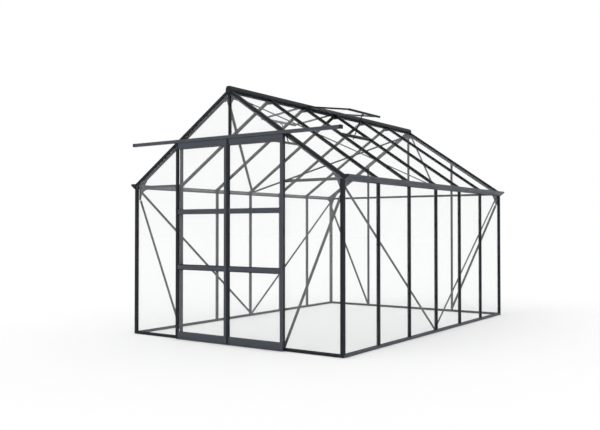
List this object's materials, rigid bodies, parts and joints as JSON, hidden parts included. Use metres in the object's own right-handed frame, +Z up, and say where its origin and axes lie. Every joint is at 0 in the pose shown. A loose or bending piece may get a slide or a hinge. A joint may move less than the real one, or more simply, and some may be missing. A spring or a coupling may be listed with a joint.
{
  "type": "greenhouse",
  "caption": "Walk-in aluminium and glass greenhouse with a pitched roof, sliding doors in the front gable and a hinged vent on each roof slope.",
  "frame": {"origin": "on the ground, at the centre of the whole object's box", "axes": "+Z up, +Y along the ridge towards the rear gable, so the doors face -Y, and +X to the right as seen from in front of the doors"},
  "size_m": [2.634, 3.798, 2.42],
  "materials": {
    "frame_coat": "anthracite powder coat with a fine satin texture",
    "brace_coat": "dark satin coat on flat bar",
    "glass": "clear float glass with a faint cool tint",
    "nylon": "black moulded nylon",
    "seal_rubber": "matt black glazing seal",
    "fastener_steel": "bright zinc plate"
  },
  "bodies": {
    "root": {"base_frame": "frame_coat", "corner_post_front_left": "frame_coat", "corner_post_front_right": "frame_coat", "corner_post_rear_left": "frame_coat", "corner_post_rear_right": "frame_coat", "glazing_hoop_1": "frame_coat", "glazing_hoop_2": "frame_coat", "glazing_hoop_3": "frame_coat", "glazing_hoop_4": "frame_coat", "glazing_hoop_5": "frame_coat", "gutter_left": "frame_coat", "gutter_right": "frame_coat", "ridge_beam": "frame_coat", "gable_arch_front": "frame_coat", "gable_arch_rear": "frame_coat", "door_jamb_left": "frame_coat", "door_jamb_right": "frame_coat", "rear_bar_left": "frame_coat", "rear_bar_centre": "frame_coat", "rear_bar_right": "frame_coat", "front_centre_bar": "frame_coat", "door_head": "frame_coat", "rear_tie": "frame_coat", "front_tie_left": "frame_coat", "front_tie_right": "frame_coat", "front_brace_left": "brace_coat", "front_brace_right": "brace_coat", "rear_brace_left": "brace_coat", "rear_brace_right": "brace_coat", "wall_brace_left_front": "brace_coat", "wall_brace_left_rear": "brace_coat", "wall_brace_right_front": "brace_coat", "wall_brace_right_rear": "brace_coat", "roof_brace_left_front": "brace_coat", "roof_brace_left_rear": "brace_coat", "roof_brace_right_front": "brace_coat", "roof_brace_right_rear": "brace_coat", "vent_sill_left": "frame_coat", "vent_sill_right": "frame_coat", "side_glass_left": "glass", "side_glass_right": "glass", "roof_glass_left": "glass", "roof_glass_right": "glass", "rear_glass": "glass", "front_glass": "glass", "door_track": "frame_coat"},
    "left_door": {"left_door_frame": "frame_coat", "left_door_glass": "glass"},
    "right_door": {"right_door_frame": "frame_coat", "right_door_glass": "glass"},
    "left_door_roller_outer": {"left_door_roller_outer": "nylon"},
    "left_door_roller_inner": {"left_door_roller_inner": "nylon"},
    "right_door_roller_outer": {"right_door_roller_outer": "nylon"},
    "right_door_roller_inner": {"right_door_roller_inner": "nylon"},
    "left_vent": {"left_vent_frame": "frame_coat", "left_vent_glass": "glass"},
    "right_vent": {"right_vent_frame": "frame_coat", "right_vent_glass": "glass"},
    "left_vent_stay": {"left_vent_stay": "brace_coat"},
    "right_vent_stay": {"right_vent_stay": "brace_coat"}
  },
  "joints": [
    {"name": "left_door_slide", "type": "slide", "parent": "root", "child": "left_door", "axis": [-1, 0, 0], "range_m": [0, 0.6]},
    {"name": "right_door_slide", "type": "slide", "parent": "root", "child": "right_door", "axis": [1, 0, 0], "range_m": [0, 0.6]},
    {"name": "left_door_roller_outer_spin", "type": "hinge", "parent": "left_door", "child": "left_door_roller_outer", "pos_m": [-0.56, -1.8745, 1.9358], "axis": [0, 1, 0], "range_deg": [-3130, 0]},
    {"name": "left_door_roller_inner_spin", "type": "hinge", "parent": "left_door", "child": "left_door_roller_inner", "pos_m": [-0.091, -1.8745, 1.9358], "axis": [0, 1, 0], "range_deg": [-3130, 0]},
    {"name": "right_door_roller_outer_spin", "type": "hinge", "parent": "right_door", "child": "right_door_roller_outer", "pos_m": [0.56, -1.8745, 1.9358], "axis": [0, 1, 0], "range_deg": [0, 3130]},
    {"name": "right_door_roller_inner_spin", "type": "hinge", "parent": "right_door", "child": "right_door_roller_inner", "pos_m": [0.091, -1.8745, 1.9358], "axis": [0, 1, 0], "range_deg": [0, 3130]},
    {"name": "left_vent_hinge", "type": "hinge", "parent": "root", "child": "left_vent", "pos_m": [-0.044, -0.292, 2.388], "axis": [0, 1, 0], "range_deg": [-26, 5]},
    {"name": "right_vent_hinge", "type": "hinge", "parent": "root", "child": "right_vent", "pos_m": [0.044, -0.292, 2.388], "axis": [0, -1, 0], "range_deg": [-26, 5]},
    {"name": "left_vent_stay_pivot", "type": "hinge", "parent": "left_vent", "child": "left_vent_stay", "pos_m": [-0.53592, -0.292, 2.29577], "axis": [0, 1, 0], "range_deg": [-4, 19]},
    {"name": "right_vent_stay_pivot", "type": "hinge", "parent": "right_vent", "child": "right_vent_stay", "pos_m": [0.53592, -0.292, 2.29577], "axis": [0, -1, 0], "range_deg": [-4, 19]}
  ],
  "couplings": [
    {"joint": "left_door_roller_outer_spin", "follows": "left_door_slide", "rad_per_m": -90.909},
    {"joint": "left_door_roller_inner_spin", "follows": "left_door_slide", "rad_per_m": -90.909},
    {"joint": "right_door_roller_outer_spin", "follows": "right_door_slide", "rad_per_m": 90.909},
    {"joint": "right_door_roller_inner_spin", "follows": "right_door_slide", "rad_per_m": 90.909},
    {"joint": "left_vent_stay_pivot", "follows": "left_vent_hinge", "ratio": -0.7},
    {"joint": "right_vent_stay_pivot", "follows": "right_vent_hinge", "ratio": -0.7}
  ]
}
